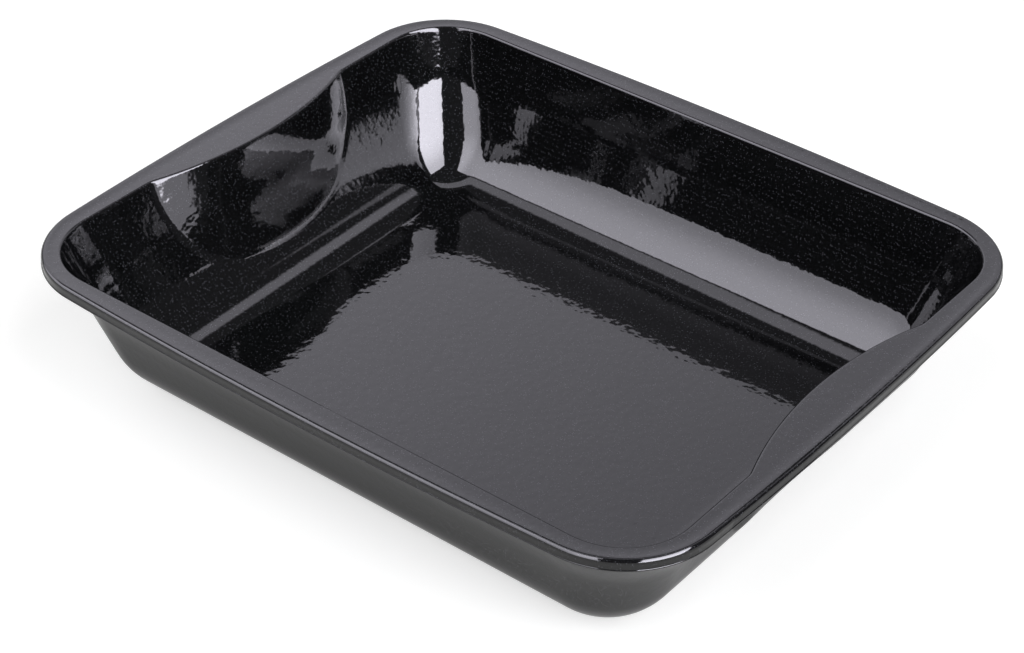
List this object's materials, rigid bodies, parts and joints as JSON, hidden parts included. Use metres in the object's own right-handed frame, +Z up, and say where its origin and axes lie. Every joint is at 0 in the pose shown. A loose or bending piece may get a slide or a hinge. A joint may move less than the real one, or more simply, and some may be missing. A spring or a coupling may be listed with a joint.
{
  "type": "roasting pan",
  "caption": "Deep rectangular roasting pan of black enamelled steel with a turned-down rim and a finger recess under a wide ledge at each end.",
  "frame": {"origin": "centre of the underside, where the pan stands", "axes": "+X along the length, towards one grip; +Y along the width; +Z up, out of the mouth"},
  "size_m": [0.4198, 0.361, 0.0843],
  "materials": {
    "black_enamel": "gloss"
  },
  "bodies": {
    "root": {"roasting_pan": "black_enamel"}
  },
  "joints": []
}
